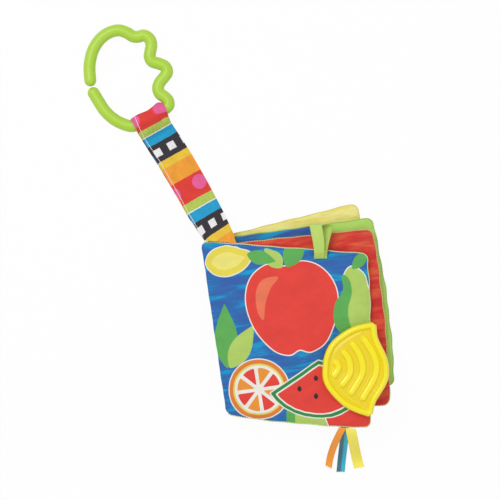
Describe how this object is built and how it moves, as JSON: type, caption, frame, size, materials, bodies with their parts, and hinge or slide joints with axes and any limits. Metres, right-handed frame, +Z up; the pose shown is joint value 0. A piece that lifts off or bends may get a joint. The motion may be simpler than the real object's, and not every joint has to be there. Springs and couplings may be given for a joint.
{
  "type": "crinkle cloth book",
  "caption": "Padded cloth book for a baby, lying closed, with a printed hanging strap and plastic link, a moulded teether, a ribbon loop and ribbon tails.",
  "frame": {"origin": "middle of the footprint, on the table that the book lies on", "axes": "+Z up from the table, +Y towards the strap and link, +X towards the free edges of the leaves"},
  "size_m": [0.2516, 0.3636, 0.0372],
  "materials": {
    "cover_print": "brushed woven polyester, printed",
    "cover_lining": "brushed woven polyester, printed",
    "red_page_print": "brushed woven polyester, printed",
    "orange_page_print": "brushed woven polyester, printed",
    "blue_page_print": "brushed woven polyester, printed",
    "green_page_print": "brushed woven polyester, printed",
    "yellow_page_print": "brushed woven polyester, printed",
    "cover_cloth": "brushed woven polyester, printed",
    "crinkle_film": "thin crackling film, clear grey",
    "batting": "soft polyester batting",
    "strap_webbing": "printed woven webbing",
    "link_plastic": "smooth moulded plastic",
    "teether_plastic": "glossy moulded soft plastic",
    "tab_twill": "twill tape",
    "green_ribbon": "satin ribbon",
    "teal_ribbon": "satin ribbon",
    "orange_ribbon": "satin ribbon",
    "yellow_ribbon": "satin ribbon"
  },
  "bodies": {
    "back_cover": {"back_cover_front_cloth": "yellow_page_print", "back_cover_back_cloth": "cover_cloth", "back_cover_crinkle_film": "crinkle_film", "back_cover_batting": "batting", "spine_panel": "cover_cloth"},
    "page_two": {"page_two_front_cloth": "blue_page_print", "page_two_back_cloth": "green_page_print", "page_two_crinkle_film": "crinkle_film", "page_two_batting": "batting"},
    "page_one": {"page_one_front_cloth": "red_page_print", "page_one_back_cloth": "orange_page_print", "page_one_crinkle_film": "crinkle_film", "page_one_batting": "batting"},
    "front_cover": {"front_cover_front_cloth": "cover_print", "front_cover_back_cloth": "cover_lining", "front_cover_crinkle_film": "crinkle_film", "front_cover_batting": "batting", "teether_tab": "tab_twill"},
    "strap": {"strap": "strap_webbing"},
    "link": {"link_ring": "link_plastic"},
    "teether": {"teether": "teether_plastic"},
    "ribbon_loop": {"ribbon_loop": "green_ribbon"},
    "ribbon_teal": {"ribbon_teal": "teal_ribbon"},
    "ribbon_orange": {"ribbon_orange": "orange_ribbon"},
    "ribbon_yellow": {"ribbon_yellow": "yellow_ribbon"}
  },
  "joints": [
    {"name": "page_two_turn", "type": "hinge", "parent": "back_cover", "child": "page_two", "pos_m": [-0.02669, 0.00611, 0.0111], "axis": [0.1461, -0.9893, 0], "range_deg": [0, 45]},
    {"name": "page_one_turn", "type": "hinge", "parent": "page_two", "child": "page_one", "pos_m": [-0.02669, 0.00611, 0.0111], "axis": [0.1461, -0.9893, 0], "range_deg": [0, 50]},
    {"name": "front_cover_turn", "type": "hinge", "parent": "page_one", "child": "front_cover", "pos_m": [-0.02669, 0.00611, 0.01755], "axis": [0.1461, -0.9893, 0], "range_deg": [0, 160]},
    {"name": "strap_swing", "type": "hinge", "parent": "front_cover", "child": "strap", "pos_m": [-0.01496, 0.00652, 0.01975], "axis": [0.9969, -0.0793, 0], "range_deg": [0, 60]},
    {"name": "link_swing", "type": "hinge", "parent": "strap", "child": "link", "pos_m": [-0.07151, 0.10665, 0.0065], "axis": [0.8708, 0.4917, 0], "range_deg": [0, 90]},
    {"name": "teether_flap", "type": "hinge", "parent": "front_cover", "child": "teether", "pos_m": [0.0668, -0.09938, 0.02612], "axis": [-0.0366, -0.9993, -0.0048], "range_deg": [0, 90]},
    {"name": "ribbon_loop_flap", "type": "hinge", "parent": "front_cover", "child": "ribbon_loop", "pos_m": [0.06578, -0.00801, 0.02609], "axis": [0.9997, -0.0001, 0.0259], "range_deg": [0, 90]},
    {"name": "ribbon_teal_flap", "type": "hinge", "parent": "front_cover", "child": "ribbon_teal", "pos_m": [0.08633, -0.14492, 0.0223], "axis": [-0.9958, 0.0913, 0], "range_deg": [0, 60]},
    {"name": "ribbon_orange_flap", "type": "hinge", "parent": "ribbon_teal", "child": "ribbon_orange", "pos_m": [0.08633, -0.14492, 0.0223], "axis": [-0.9958, 0.0913, 0], "range_deg": [0, 40]},
    {"name": "ribbon_yellow_flap", "type": "hinge", "parent": "ribbon_teal", "child": "ribbon_yellow", "pos_m": [0.08633, -0.14492, 0.0223], "axis": [-0.9958, 0.0913, 0], "range_deg": [0, 40]}
  ]
}
